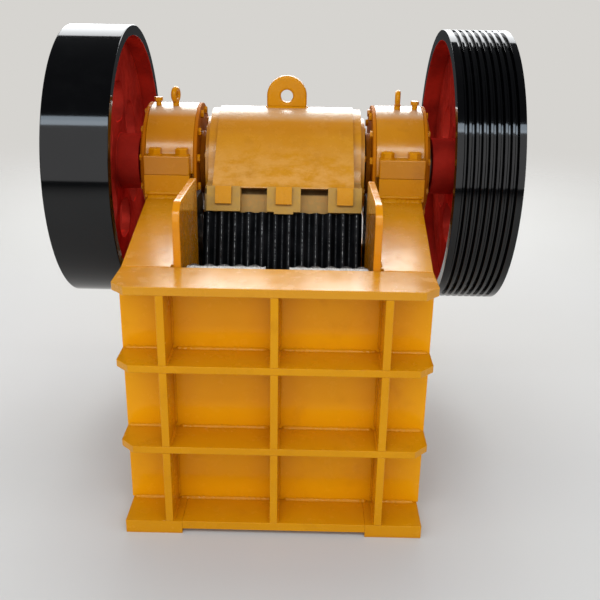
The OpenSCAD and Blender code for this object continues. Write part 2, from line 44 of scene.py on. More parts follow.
# Places and sizes in millimetres: x from the middle, y from the frame's front, z from the ground
HALF_W = 503
WALL_FACE = 140
REAR_FACE = 1330
PLATE_T = 25
HALF_T = PLATE_T / 2
FOOT_TOP = 48
LOW_RIB = (310, 335)
HIGH_RIB = (600, 625)
REAR_RAIL = 615
FLANGE_T = 28
FLANGE_TOP = 887
FLANGE_UNDER = FLANGE_TOP - FLANGE_T
FLANGE_BACK = 190
SLOPE_END = 835
SEAT_Z = 950
SIDE_IN = 334
SIDE_OUT = 372
SEAT_OUT = 541
AXIS_FROM_FRONT = 1121
AXIS_H = 1040
EAR_REACH = 271
POST_X = 350
SIDE_POST_Y = (520, 875, AXIS_FROM_FRONT - HALF_T, REAR_FACE - PLATE_T)
ROD_X = 150
ROD_Z = 190

# The shaft's axis in the scene, in metres
AXIS_Y = AXIS_FROM_FRONT / 1000 + FRONT
AXIS_Z = AXIS_H / 1000


def mm(x, y, z):
    """A point in millimetres, with y from the frame's front, as a point of the scene."""
    return Vector((x / 1000, y / 1000 + FRONT, z / 1000))


def rgb(r, g, b):
    """A colour as seen on a screen, 0 to 255, as the linear colour a shader takes."""
    def line(v):
        v = v / 255
        return v / 12.92 if v <= 0.04045 else ((v + 0.055) / 1.055) ** 2.4
    return (line(r), line(g), line(b), 1.0)


# Camera

CAMERA_PLACE = (0.0988, -3.1358, 1.7403)
CAMERA_TURN = (-0.533, 21.02, 0.941)
FOCAL_PIXELS = 818.72
PHOTO_PIXELS = 600
FILM_WIDTH = 36


def make_camera():
    yaw, pitch, roll = (math.radians(v) for v in CAMERA_TURN)
    forward = Vector((math.sin(yaw) * math.cos(pitch), math.cos(yaw) * math.cos(pitch), -math.sin(pitch)))
    level = Vector((math.cos(yaw), -math.sin(yaw), 0))
    upright = level.cross(forward)
    right = math.cos(roll) * level + math.sin(roll) * upright
    up = -math.sin(roll) * level + math.cos(roll) * upright
    data = bpy.data.cameras.new("camera")
    data.sensor_width = FILM_WIDTH
    data.lens = FOCAL_PIXELS / PHOTO_PIXELS * FILM_WIDTH
    data.clip_end = 400
    cam = bpy.data.objects.new("camera", data)
    x, y, z = CAMERA_PLACE
    cam.matrix_world = Matrix((
        (right.x, up.x, -forward.x, x),
        (right.y, up.y, -forward.y, y),
        (right.z, up.z, -forward.z, z),
        (0, 0, 0, 1)))
    bpy.context.scene.collection.objects.link(cam)
    bpy.context.scene.camera = cam


# Shader helper

class Shader:
    """A material and short calls for its nodes. A call that takes a value takes a number, a colour or a
    socket."""

    def __init__(self, name):
        self.mat = bpy.data.materials.new(name)
        self.mat.use_nodes = True
        self.tree = self.mat.node_tree
        self.bsdf = self.tree.nodes["Principled BSDF"]
        self.point = self.tree.nodes.new("ShaderNodeTexCoord").outputs["Object"]

    def put(self, value, socket):
        if isinstance(value, bpy.types.NodeSocket):
            self.tree.links.new(value, socket)
        else:
            socket.default_value = value

    def noise(self, scale, detail=4.0, rough=0.55, vector=None):
        n = self.tree.nodes.new("ShaderNodeTexNoise")
        self.put(vector or self.point, n.inputs["Vector"])
        for key, value in (("Scale", scale), ("Detail", detail), ("Roughness", rough)):
            n.inputs[key].default_value = value
        return n.outputs["Fac"]

    def scaled(self, x, y, z):
        """The place on the object, stretched along its axes."""
        n = self.tree.nodes.new("ShaderNodeMapping")
        self.put(self.point, n.inputs["Vector"])
        n.inputs["Scale"].default_value = (x, y, z)
        return n.outputs["Vector"]

    def calc(self, operation, first, second=0.0):
        n = self.tree.nodes.new("ShaderNodeMath")
        n.operation = operation
        self.put(first, n.inputs[0])
        self.put(second, n.inputs[1])
        return n.outputs[0]

    def times(self, first, *others):
        for value in others:
            first = self.calc("MULTIPLY", first, value)
        return first

    def plus(self, first, second):
        return self.calc("ADD", first, second)

    def minus(self, first, second):
        return self.calc("SUBTRACT", first, second)

    def fade(self, value, low, high, to_low=0.0, to_high=1.0):
        """A smooth step from to_low, where the value is low, to to_high, where it is high."""
        n = self.tree.nodes.new("ShaderNodeMapRange")
        n.interpolation_type = "SMOOTHSTEP"
        for part, socket in zip((value, low, high, to_low, to_high), n.inputs):
            self.put(part, socket)
        return n.outputs[0]

    def band(self, value, rise, fall):
        """1 between two pairs of values, over which it fades in and out."""
        return self.times(self.fade(value, *rise), self.fade(value, *fall, 1.0, 0.0))

    def mix(self, share, a, b):
        n = self.tree.nodes.new("ShaderNodeMix")
        n.data_type = "RGBA"
        self.put(share, n.inputs[0])
        self.put(a, n.inputs[6])
        self.put(b, n.inputs[7])
        return n.outputs[2]

    def parts(self, vector=None):
        n = self.tree.nodes.new("ShaderNodeSeparateXYZ")
        self.put(vector or self.point, n.inputs[0])
        return n.outputs

    def upward(self):
        """How far the surface faces up, from -1 to 1."""
        n = self.tree.nodes.new("ShaderNodeNewGeometry")
        return self.parts(n.outputs["Normal"])[2]

    def corners(self):
        """1 in open places, less near a corner."""
        n = self.tree.nodes.new("ShaderNodeAmbientOcclusion")
        n.samples = 6
        n.inputs["Distance"].default_value = CORNER_REACH
        return n.outputs["AO"]

    def bump(self, height, depth, normal=None):
        n = self.tree.nodes.new("ShaderNodeBump")
        n.inputs["Strength"].default_value = 1.0
        n.inputs["Distance"].default_value = depth
        self.put(height, n.inputs["Height"])
        if normal:
            self.put(normal, n.inputs["Normal"])
        return n.outputs["Normal"]

    def done(self, colour, rough, normal, metal=0.0, coat=0.0, specular=0.5, tint=(1, 1, 1, 1), haze=0.07):
        """The finished material. haze is the coat's roughness."""
        for key, value in (("Base Color", colour), ("Roughness", rough), ("Normal", normal),
                           ("Metallic", metal), ("Coat Weight", coat), ("Coat Roughness", haze),
                           ("Specular IOR Level", specular), ("Specular Tint", tint)):
            self.put(value, self.bsdf.inputs[key])
        return self.mat


# Materials

CORNER_REACH = 0.03
GOLD = (1.0, 0.78, 0.34, 1.0)
DUST = rgb(180, 142, 84)
PANEL_DUST = rgb(217, 156, 74)
# A pale colour for dust and a painted highlight on top of the barrel, and for a painted highlight on top of
# the caps
TOP_DUST_AND_SHEEN = rgb(214, 186, 158)
# The dark brown of the painted shadow under the moving jaw panel's edge
PAINTED_SHADOW = rgb(48, 22, 2)
# The darker orange of the painted shade band round the moving jaw's barrel
BARREL_PAINTED_SHADE = rgb(190, 118, 0)

# Heights in metres over which dust, a painted shadow, a painted shade band and painted highlights on the
# moving jaw and the caps fade in or out
RECESS_RISE = (0.90, 0.92)
RECESS_FALL = (1.018, 1.024)
SHADE_RISE = (0.988, 0.996)
SHADE_FALL = (1.010, 1.014)
PANEL_RISE = (1.02, 1.03)
PANEL_FALL = (1.04, 1.2)
BARREL_SHADE_RISE = (1.18, 1.205)
BARREL_SHADE_FALL = (1.225, 1.245)
BARREL_DUST_AND_SHEEN_RISE = (1.23, 1.262)
CAP_SHEEN_RISE = (1.243, 1.272)

# Distances in metres behind the moving jaw plate's face
SHADE_DEPTH = (0.03, 0.04)
CLAMP_DEPTH = (-0.0138, -0.0124)

# Places in metres along the machine, from its middle towards the back
JAW_FRONT = (0.05, 0.1)
FIXED_CREST = (-0.604, -0.584)

# A point of the moving jaw plate's face in metres, and the face's outward direction
JAW_FACE_Y = -0.175
JAW_FACE_Z = 0.887
JAW_FACE_COS = 0.9205
JAW_FACE_SIN = 0.3907

# The radius in metres at which the wheels' red ends and the rims' black begins
WHEEL_EDGE = (0.5035, 0.506)


def enamel(name, colour, deep, pale, rough=0.2, cast=0.0, dust=0.0, coat=0.12, masks=None, shine=0.36,
           haze=0.07):
    """Glossy enamel on steel plate, or on a casting where cast is the depth of its skin in metres. masks, if
    given, takes the shader and its colour and returns a colour, a share of dust on it and one of painted
    shadow."""
    s = Shader(name)
    tone = s.mix(s.fade(s.noise(2.2, 3), 0.35, 0.68), colour, pale)
    tone = s.mix(s.fade(s.noise(11, 6, 0.6), 0.52, 0.8, 0.0, 0.3), tone, deep)
    extra = painted_shadow_share = 0.0
    if masks:
        tone, extra, painted_shadow_share = masks(s, tone)
    # Painted shade: the tone darkens towards the deep colour near corners
    tone = s.mix(s.fade(s.corners(), 0.35, 0.9, 0.4, 0.0), tone, deep)
    tone = s.mix(s.fade(s.noise(420, 2, 0.7), 0.72, 0.77, 0.0, 0.4), tone, deep)
    settled = s.times(s.fade(s.upward(), 0.25, 0.95), s.fade(s.noise(7, 7, 0.65), 0.42, 0.72, 0.0, dust))
    settled = s.calc("MAXIMUM", settled, extra)
    # Painted shadow: where masks gives a share of it, the tone turns dark brown and the coat is taken away
    # there, as under dust
    tone = s.mix(painted_shadow_share, s.mix(settled, tone, DUST), PAINTED_SHADOW)
    coat_left = s.minus(1.0, s.calc("MAXIMUM", settled, painted_shadow_share))
    gloss = s.plus(s.fade(s.noise(19, 5, 0.6), 0.3, 0.75, rough * 0.7, rough * 1.6), s.times(settled, 0.5))
    normal = s.bump(s.noise(5, 2), 0.0024)
    normal = s.bump(s.noise(16, 3, 0.5), 0.0006 + cast * 1.6, normal)
    normal = s.bump(s.noise(240, 2, 0.5), 0.00016, normal)
    if cast:
        normal = s.bump(s.noise(48, 7, 0.62), cast, normal)
    return s.done(tone, gloss, normal, coat=s.times(coat_left, coat), specular=shine, tint=GOLD, haze=haze)


def jaw_depth(s):
    """How far a point lies behind the moving jaw plate's face."""
    x, y, z = s.parts()
    behind = s.times(s.minus(y, JAW_FACE_Y), JAW_FACE_COS)
    return s.minus(behind, s.times(s.minus(z, JAW_FACE_Z), JAW_FACE_SIN))


def jaw_masks(s, tone):
    """Dust on the moving jaw, thick in the recess between its clamps and thinner on the panel above them and
    on top of the barrel, where a painted highlight joins it, with a painted shade band in between, and a
    painted shadow under the panel's edge."""
    x, y, z = s.parts()
    front = s.fade(y, *JAW_FRONT, 1.0, 0.0)
    grain = s.fade(s.noise(60, 6, 0.7), 0.3, 0.6, 0.35, 0.95)
    recess = s.times(s.band(z, RECESS_RISE, RECESS_FALL), grain, front)
    cloud = s.fade(s.noise(19, 8, 0.72, s.scaled(0.7, 1, 1.5)), 0.36, 0.6)
    panel = s.times(s.band(z, PANEL_RISE, PANEL_FALL), 0.85, cloud, front)
    # Painted shadow: a dark strip on the recess just under the panel's overhanging edge
    shade = s.times(s.fade(jaw_depth(s), *SHADE_DEPTH), s.band(z, SHADE_RISE, SHADE_FALL), front)
    # Dust and a painted highlight: a pale colour over the barrel's top
    above = s.times(s.fade(z, *BARREL_DUST_AND_SHEEN_RISE, 0.0, 0.75), s.fade(cloud, 0.0, 1.0, 0.7, 1.0))
    # Painted shade: a darker orange band round the barrel just below its highlight
    tone = s.mix(s.times(s.band(z, BARREL_SHADE_RISE, BARREL_SHADE_FALL), 0.6), tone, BARREL_PAINTED_SHADE)
    tone = s.mix(panel, tone, PANEL_DUST)
    return s.mix(above, tone, TOP_DUST_AND_SHEEN), recess, shade


def cap_masks(s, tone):
    """A painted highlight: a pale colour over the top of the bearing caps."""
    x, y, z = s.parts()
    return s.mix(s.fade(z, *CAP_SHEEN_RISE, 0.0, 0.75), tone, TOP_DUST_AND_SHEEN), 0.0, 0.0


def clamp_masks(s, tone):
    """The blocks that stand proud of the clamps are bright, and the clamps themselves are dusty."""
    plate = s.fade(jaw_depth(s), *CLAMP_DEPTH)
    khaki = s.mix(s.fade(s.noise(34, 5, 0.6), 0.4, 0.7), rgb(190, 143, 60), rgb(178, 136, 70))
    grain = s.fade(s.noise(90, 5, 0.7), 0.4, 0.7, 0.1, 0.45)
    return s.mix(plate, tone, khaki), s.times(plate, grain), 0.0


def wheel_paint(name, turning_marks):
    """Black gloss outside the rim's inner edge, with fine rings round it, and dark red inside it.
    turning_marks is how closely the rings lie."""
    s = Shader(name)
    x, y, z = s.parts()
    dy = s.minus(y, AXIS_Y)
    dz = s.minus(z, AXIS_Z)
    radius = s.calc("SQRT", s.plus(s.times(dy, dy), s.times(dz, dz)))
    wavy = s.plus(radius, s.times(s.minus(s.noise(18, 3), 0.5), 0.006))
    outside = s.fade(wavy, *WHEEL_EDGE)
    red = s.mix(s.fade(s.noise(6, 5, 0.6), 0.35, 0.7), rgb(190, 52, 40), rgb(150, 38, 31))
    # Painted shade: the red darkens near corners
    red = s.mix(s.fade(s.corners(), 0.3, 0.85, 0.5, 0.0), red, rgb(58, 12, 10))
    black = s.mix(s.fade(s.noise(9, 5, 0.6), 0.4, 0.75), rgb(2, 2, 3), rgb(6, 6, 7))
    turn = s.tree.nodes.new("ShaderNodeCombineXYZ")
    for value, socket in zip((s.times(x, turning_marks), s.calc("DIVIDE", dy, radius),
                              s.calc("DIVIDE", dz, radius)), turn.inputs):
        s.put(value, socket)
    rings = s.noise(1.4, 4, 0.6, turn.outputs[0])
    rough_red = s.fade(s.noise(24, 5, 0.6), 0.3, 0.75, 0.3, 0.5)
    rough_black = s.fade(s.noise(13, 6, 0.62), 0.35, 0.75, 0.08, 0.2)
    gloss = s.plus(s.times(outside, s.minus(rough_black, rough_red)), rough_red)
    normal = s.bump(s.times(s.noise(44, 6, 0.6), s.fade(outside, 0.0, 1.0, 1.0, 0.3)), 0.0013)
    normal = s.bump(s.times(rings, outside), 0.0003, normal)
    normal = s.bump(s.noise(230, 2), 0.00014, normal)
    return s.done(s.mix(outside, red, black), gloss, normal, metal=s.fade(outside, 0.0, 1.0, 0.3, 0.0),
                  coat=s.times(outside, 0.8), specular=0.0, tint=(0.8, 0.12, 0.08, 1.0))


def crest_wear_and_glints(s, x, width, teeth=12):
    """Broken bright lines along the crests of the teeth, worn metal with a painted highlight, and faint
    painted highlights along their roots.
    """
    turn = s.calc("FRACT", s.calc("DIVIDE", s.plus(x, width / 2), width / teeth))
    crest = s.calc("ABSOLUTE", s.minus(turn, 0.5))
    root = s.minus(0.5, crest)
    wander = s.times(s.minus(s.noise(70, 3), 0.5), 0.05)
    run = s.noise(170, 7, 0.85, s.scaled(1, 1, 0.6))
    line = s.fade(s.calc("ABSOLUTE", s.plus(crest, wander)), 0.006, 0.022, 1.0, 0.0)
    low = s.fade(s.calc("ABSOLUTE", s.plus(root, wander)), 0.008, 0.024, 0.25, 0.0)
    return s.times(s.calc("MAXIMUM", line, low), s.fade(run, 0.46, 0.6, 0.05, 0.9))


def jaw_metal(name, width=0.0):
    """Manganese steel under thin black paint, chipped on its upper edge. With the width of a plate in metres,
    its crests are worn bright with a painted highlight, and its roots carry faint painted highlights."""
    s = Shader(name)
    x, y, z = s.parts()
    dark = s.mix(s.fade(s.noise(14, 5, 0.6), 0.4, 0.72), rgb(12, 13, 15), rgb(28, 28, 30))
    chips = s.noise(230, 3, 0.7)
    fewer = s.fade(y, *FIXED_CREST, 0.0, 0.2)
    bright = s.times(s.fade(s.upward(), 0.8, 0.97), s.fade(s.minus(chips, fewer), 0.42, 0.52))
    if width:
        bright = s.calc("MAXIMUM", bright, crest_wear_and_glints(s, x, width))
    colour = s.mix(bright, dark, rgb(206, 206, 204))
    gloss = s.plus(s.fade(s.noise(40, 4), 0.3, 0.8, 0.3, 0.55), s.times(bright, 0.05))
    normal = s.bump(s.noise(38, 6, 0.65), 0.0012)
    normal = s.bump(chips, 0.0004, normal)
    return s.done(colour, gloss, normal, metal=s.times(bright, 0.5), specular=0.07)


def bare_metal(name, colour, rust, rough=0.34):
    """Machined steel with an oily film and rust in its corners."""
    s = Shader(name)
    hidden = s.times(s.minus(1.0, s.corners()), 0.3)
    stain = s.fade(s.plus(s.noise(9, 7, 0.65), hidden), 0.5, 0.75, 0.0, rust)
    tone = s.mix(stain, s.mix(s.noise(30, 5), colour, rgb(92, 90, 88)), rgb(96, 56, 32))
    gloss = s.plus(s.fade(s.noise(26, 5), 0.3, 0.7, rough * 0.8, rough * 1.4), s.times(stain, 0.3))
    normal = s.bump(s.noise(60, 4, 0.6, s.scaled(9, 1, 1)), 0.0004)
    normal = s.bump(s.noise(300, 3), 0.0002, normal)
    return s.done(tone, gloss, normal, metal=s.fade(stain, 0.0, 1.0, 1.0, 0.3))


def spring_paint(name):
    s = Shader(name)
    tone = s.mix(s.fade(s.noise(40, 5), 0.4, 0.7), rgb(16, 17, 19), rgb(40, 38, 36))
    gloss = s.fade(s.noise(60, 4), 0.3, 0.7, 0.25, 0.5)
    return s.done(tone, gloss, s.bump(s.noise(160, 4), 0.0006), coat=0.3)


YELLOW = enamel("frame_enamel", rgb(207, 137, 2), rgb(168, 95, 0), rgb(212, 143, 4), dust=0.04)
# Painted light: the front wall is a lighter copy of the frame's enamel, so that its recessed panels between
# the ribs look as bright as the ribs' fronts
LIGHTENED_WALL = enamel("wall_enamel_lightened", rgb(232, 155, 2), rgb(196, 116, 0), rgb(236, 161, 4))
SLOPE = enamel("flange_enamel", rgb(206, 137, 4), rgb(168, 95, 0), rgb(212, 144, 8), dust=0.1, coat=0.58,
               haze=0.24)
CAST = enamel("casting_enamel", rgb(208, 132, 2), rgb(156, 84, 0), rgb(214, 140, 8), rough=0.22, cast=0.0009,
              dust=0.06)
CAP = enamel("cap_enamel", rgb(194, 120, 2), rgb(146, 78, 0), rgb(202, 130, 8), cast=0.0009, dust=0.06,
             coat=0.9, haze=0.2, masks=cap_masks)
JAW = enamel("jaw_enamel", rgb(197, 127, 0), rgb(150, 88, 4), rgb(204, 137, 12), rough=0.22, cast=0.0013,
             dust=0.1, coat=0.85, haze=0.3, masks=jaw_masks)
CLAMP = enamel("clamp_enamel", rgb(202, 127, 5), rgb(120, 76, 18), rgb(214, 142, 14), rough=0.3, cast=0.0014,
               dust=0.1, coat=0.05, masks=clamp_masks)
# Painted shade: the bearing covers are a darker, browner copy of the casting enamel, for the shade they sit
# in
DARKENED_COVER = enamel("cover_enamel_darkened", rgb(176, 96, 4), rgb(104, 50, 2), rgb(188, 110, 8), rough=0.42, cast=0.001,
               dust=0.03, coat=0.0, shine=0.08)
WELD = enamel("weld_enamel", rgb(208, 133, 3), rgb(158, 86, 0), rgb(214, 142, 8), rough=0.24, cast=0.0008,
              coat=0.05)
GUARD = enamel("guard_enamel", rgb(216, 134, 3), rgb(174, 90, 0), rgb(220, 142, 6), dust=0.1, coat=0.5,
               haze=0.12)
FLYWHEEL = wheel_paint("flywheel_enamel", 42.0)
PULLEY = wheel_paint("pulley_enamel", 90.0)
LINER = jaw_metal("plain_liner")
STEEL = bare_metal("machined_steel", rgb(150, 150, 152), 0.5)
SHAFT = bare_metal("oily_shaft", rgb(120, 112, 102), 0.8, 0.3)
SPRING = spring_paint("spring_black")

# CAD nodes that aren't in the frame's enamel
NODE_LOOKS = {
    "front_wall": LIGHTENED_WALL, "side_flange_left": SLOPE, "side_flange_right": SLOPE, "front_top_flange": SLOPE,
    "feed_guard_left": GUARD, "feed_guard_right": GUARD,
    "bearing_housing_left": CAST, "bearing_housing_right": CAST, "bearing_cap_left": CAP,
    "bearing_cap_right": CAP, "cap_eyebolts": CAST, "grease_plugs": CAST, "bearing_covers_left": DARKENED_COVER,
    "bearing_covers_right": DARKENED_COVER, "moving_jaw": JAW, "jaw_lifting_lug": CAST, "jaw_clamps": CLAMP,
    "jaw_toggle_seat": CAST, "toggle_seat": CAST, "flywheel": FLYWHEEL, "belt_pulley": PULLEY,
    "side_liner_left": LINER, "side_liner_right": LINER,
    "moving_jaw_plate": jaw_metal("moving_teeth", 0.607), "fixed_jaw_plate": jaw_metal("fixed_teeth", 0.6),
    "toggle_plate": STEEL, "toggle_shims": STEEL, "tension_rods": STEEL, "eccentric_shaft": SHAFT,
    "springs": SPRING}

# How far the CAD nodes' edges are rounded, in millimetres
PLAIN_EDGE = 2
ROUND_EDGES = {
    "bearing_cap_left": 4, "bearing_cap_right": 4, "moving_jaw": 5, "jaw_clamps": 2, "flywheel": 4,
    "belt_pulley": 1.2, "feed_guard_left": 4, "feed_guard_right": 4, "jaw_lifting_lug": 10,
    "moving_jaw_plate": 1, "fixed_jaw_plate": 1.5, "grease_plugs": 2, "cap_eyebolts": 0.8}
SAME_PLACE = 0.00002
SAME_PLANE = math.radians(0.6)
SHARP_EDGE = math.radians(34)


def dress_nodes():
    for name, obj in nodes.items():
        obj.data.materials.clear()
        obj.data.materials.append(NODE_LOOKS.get(name, YELLOW))
        obj.modifiers.new("join", "WELD").merge_threshold = SAME_PLACE
        flat = obj.modifiers.new("one_face_per_plane", "DECIMATE")
        flat.decimate_type = "DISSOLVE"
        flat.angle_limit = SAME_PLANE
        edge = obj.modifiers.new("round_edges", "BEVEL")
        edge.width = ROUND_EDGES.get(name, PLAIN_EDGE) / 1000
        edge.segments = 3
        edge.use_clamp_overlap = name != "jaw_lifting_lug"
        edge.limit_method = "ANGLE"
        edge.angle_limit = SHARP_EDGE
        even = obj.modifiers.new("even_shading", "WEIGHTED_NORMAL")
        even.weight = 50


# Pieces

def make_piece(name, bm, body, look, sharp=40):
    """An object from a mesh, riding on a body; edges over the angle called sharp stay sharp, in degrees."""
    bmesh.ops.recalc_face_normals(bm, faces=bm.faces)
    mesh = bpy.data.meshes.new(name)
    bm.to_mesh(mesh)
    bm.free()
    mesh.materials.append(look)
    mesh.polygons.foreach_set("use_smooth", [True] * len(mesh.polygons))
    mesh.set_sharp_from_angle(angle=math.radians(sharp))
    obj = bpy.data.objects.new(name, mesh)
    bpy.context.scene.collection.objects.link(obj)
    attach(obj, body)
    return obj


def sweep(bm, rings):
    """Joins rings of points into a skin, with a face on both ends."""
    rows = [[bm.verts.new(p) for p in ring] for ring in rings]
    for a, b in zip(rows, rows[1:]):
        for i in range(len(a)):
            j = (i + 1) % len(a)
            bm.faces.new((a[i], a[j], b[j], b[i]))
    bm.faces.new(rows[0])
    bm.faces.new(rows[-1])


# A weld's length between two rings, and how deep its root sits in the steel, in metres
WELD_STEP = 0.0055
FILLET_SINK = 0.0008
SEAM_SINK = 0.001


def fillet(bm, start, end, n1, n2, size, rnd):
    """A weld bead in the corner between two faces with the outward normals n1 and n2; size in millimetres."""
    n1, n2 = Vector(n1).normalized(), Vector(n2).normalized()
    run = end - start
    steps = max(4, int(run.length / WELD_STEP))
    phase = rnd.uniform(0, 6)
    rings = []
    for i in range(steps + 1):
        t = i / steps
        ends = min(1.0, 0.3 + 100 * min(t, 1 - t) * run.length)
        width = size / 1000 * ends * (1 + 0.10 * math.sin(i * 1.9 + phase) + rnd.uniform(-0.07, 0.07)
                                      + 0.10 * math.sin(i * 0.23 + phase))
        base = start + run * t - (n1 + n2) * FILLET_SINK
        ring = [base]
        for k in range(5):
            a = math.pi / 2 * k / 4
            bulge = 1 - 0.18 * math.sin(2 * a)
            ring.append(base + (n1 * math.cos(a) + n2 * math.sin(a)) * width * bulge)
        rings.append(ring)
    sweep(bm, rings)


def seam(bm, start, end, across, up, width, height, rnd):
    """A low weld bead on a flat face, over a butt joint; sizes in millimetres."""
    across, up = Vector(across).normalized(), Vector(up).normalized()
    run = end - start
    steps = max(4, int(run.length / WELD_STEP))
    rings = []
    for i in range(steps + 1):
        t = i / steps
        ends = min(1.0, 0.3 + 80 * min(t, 1 - t) * run.length)
        wide = width / 2000 * ends * (1 + rnd.uniform(-0.12, 0.12))
        tall = height / 1000 * ends * (1 + 0.2 * math.sin(i * 2.1) + rnd.uniform(-0.15, 0.15))
        base = start + run * t
        rings.append([base - across * wide - up * SEAM_SINK,
                      base - across * wide * 0.6 + up * tall * 0.7,
                      base + up * tall,
                      base + across * wide * 0.6 + up * tall * 0.7,
                      base + across * wide - up * SEAM_SINK])
    sweep(bm, rings)


def disc_rings(centre, axis, profile, sides, turn=0.0):
    """Rings of points round an axis; profile is a list of (height, radius) in metres."""
    axis = Vector(axis).normalized()
    side = axis.orthogonal().normalized()
    other = axis.cross(side)
    angles = [turn + 2 * math.pi * k / sides for k in range(sides)]
    return [[centre + axis * h + (side * math.cos(a) + other * math.sin(a)) * r for a in angles]
            for h, r in profile]


# A washer's thickness, how far a bolt's foot sits in its face, and a thread's pitch, in metres
WASHER_T = 0.004
BOLT_SINK = 0.001
STUD_PITCH = 0.0022
ROD_PITCH = 0.0015


def hex_bolt(bm, centre, axis, flats, height, rnd, washer=0.0, stud=0.0):
    """A hexagon head or nut, with a washer and a stud end if they are given; sizes in millimetres."""
    f, h, w = flats / 1732, height / 1000, 0.0
    if washer:
        w = WASHER_T
        r = washer / 2000
        sweep(bm, disc_rings(centre, axis, [(-BOLT_SINK, r), (w * 0.7, r), (w, r * 0.97), (w, r * 0.5)], 36))
    turn = rnd.uniform(0, 1)
    head = [(w - BOLT_SINK, f), (w + h * 0.86, f), (w + h, f * 0.9), (w + h, f * 0.45)]
    sweep(bm, disc_rings(centre, axis, head, 6, turn))
    if stud:
        r = flats / 3100
        top = w + h + stud / 1000
        turns = range(int(stud / (STUD_PITCH * 1000)))
        marks = [(w + h + k * STUD_PITCH, r * (1.0 if k % 2 else 0.92)) for k in turns]
        sweep(bm, disc_rings(centre, axis, [(w, r)] + marks + [(top, r * 0.9), (top, r * 0.4)], 20))


BACK, AHEAD, ABOVE, BELOW = (0, 1, 0), (0, -1, 0), (0, 0, 1), (0, 0, -1)
BAYS = ((FOOT_TOP, LOW_RIB[0]), (LOW_RIB[1], HIGH_RIB[0]), (HIGH_RIB[1], FLANGE_UNDER))

# How far a weld stays from a plate's free edge and from the side wall's outer face, in millimetres
EDGE = 4
ROOT = 3


def front_welds():
    rnd = random.Random(11)
    bm = bmesh.new()
    posts = (-POST_X, 0, POST_X)
    starts = [-HALF_W] + [x + HALF_T for x in posts]
    ends = [x - HALF_T for x in posts] + [HALF_W]
    for x0, x1 in zip(starts, ends):
        for low, high in BAYS:
            start = mm(x0 + rnd.uniform(2, 16), WALL_FACE, low)
            end = mm(x1 - rnd.uniform(2, 16), WALL_FACE, low)
            fillet(bm, start, end, AHEAD, ABOVE, 9.5, rnd)
        for low, high in BAYS:
            fillet(bm, mm(x0 + 6, WALL_FACE, high), mm(x1 - 6, WALL_FACE, high), AHEAD, BELOW, 7, rnd)
    for post in posts:
        for s in (-1, 1):
            x = post + s * HALF_T
            out = (s, 0, 0)
            for low, high in BAYS:
                fillet(bm, mm(x, WALL_FACE, low + 8), mm(x, WALL_FACE, high - 8), AHEAD, out, 7, rnd)
                fillet(bm, mm(x, EDGE, low), mm(x, WALL_FACE - 6, low), out, ABOVE, 6, rnd)
                fillet(bm, mm(x, EDGE, high), mm(x, WALL_FACE - 6, high), out, BELOW, 6, rnd)
    make_piece("front_welds", bm, "frame", WELD)


def flange_z(y):
    """Height of the side flange's top at a distance from the front, in millimetres."""
    share = min(1, max(0, (y - FLANGE_BACK) / (SLOPE_END - FLANGE_BACK)))
    return FLANGE_TOP + (SEAT_Z - FLANGE_TOP) * share


def flange_and_seat_welds(bm, s, rnd):
    """The welds of one side flange and of the bearing housing that stands on it."""
    slope = math.atan2(SEAT_Z - FLANGE_TOP, SLOPE_END - FLANGE_BACK)
    out, top = (s, 0, 0), (0, -math.sin(slope), math.cos(slope))
    guard_front, guard_back, seam_z = 216, 590, 967
    ear_front, ear_back = AXIS_FROM_FRONT - EAR_REACH, AXIS_FROM_FRONT + EAR_REACH
    fillet(bm, mm(s * SIDE_IN, guard_front, flange_z(guard_front)),
           mm(s * SIDE_IN, guard_back, flange_z(guard_back)), out, top, 9, rnd)
    seam(bm, mm(s * (SIDE_IN + 11), FLANGE_BACK, FLANGE_TOP),
         mm(s * (HALF_W - EDGE), FLANGE_BACK, FLANGE_TOP), BACK, ABOVE, 11, 1.8, rnd)
    fillet(bm, mm(s * (SIDE_OUT + 1), ear_front, SEAT_Z), mm(s * SEAT_OUT, ear_front, SEAT_Z),
           AHEAD, ABOVE, 14, rnd)
    seam(bm, mm(s * (SIDE_OUT + 2), ear_front, seam_z), mm(s * (SEAT_OUT + 5), ear_front, seam_z),
         ABOVE, AHEAD, 17, 5.5, rnd)
    fillet(bm, mm(s * (SIDE_OUT + 1), ear_back, SEAT_Z), mm(s * SEAT_OUT, ear_back, SEAT_Z),
           BACK, ABOVE, 7, rnd)
    fillet(bm, mm(s * SIDE_OUT, FLANGE_BACK + 6, FLANGE_UNDER),
           mm(s * SIDE_OUT, SLOPE_END, SEAT_Z - FLANGE_T), out, BELOW, 7, rnd)


def side_post_welds(bm, s, rnd):
    """The welds of one side's rails and posts."""
    out = (s, 0, 0)
    starts = [FLANGE_BACK] + [y + PLATE_T for y in SIDE_POST_Y]
    for y0, y1 in zip(starts, SIDE_POST_Y):
        for z, n in ((FOOT_TOP, ABOVE), (LOW_RIB[0], BELOW), (LOW_RIB[1], ABOVE), (HIGH_RIB[0], BELOW),
                     (HIGH_RIB[1], ABOVE)):
            fillet(bm, mm(s * SIDE_OUT, y0 + 7, z), mm(s * SIDE_OUT, y1 - 7, z), out, n, 8, rnd)
    for post in SIDE_POST_Y:
        for low, high in BAYS[:2] + ((HIGH_RIB[1], None),):
            limit = high or min(flange_z(post) - 32, 800)
            for y, n in ((post, AHEAD), (post + PLATE_T, BACK)):
                if y == REAR_FACE:
                    continue
                near, far = s * (SIDE_OUT + ROOT), s * (HALF_W - EDGE)
                fillet(bm, mm(s * SIDE_OUT, y, low + 8), mm(s * SIDE_OUT, y, limit - 8), out, n, 7, rnd)
                fillet(bm, mm(near, y, low), mm(far, y, low), n, ABOVE, 6, rnd)
                if high:
                    fillet(bm, mm(near, y, high), mm(far, y, high), n, BELOW, 6, rnd)


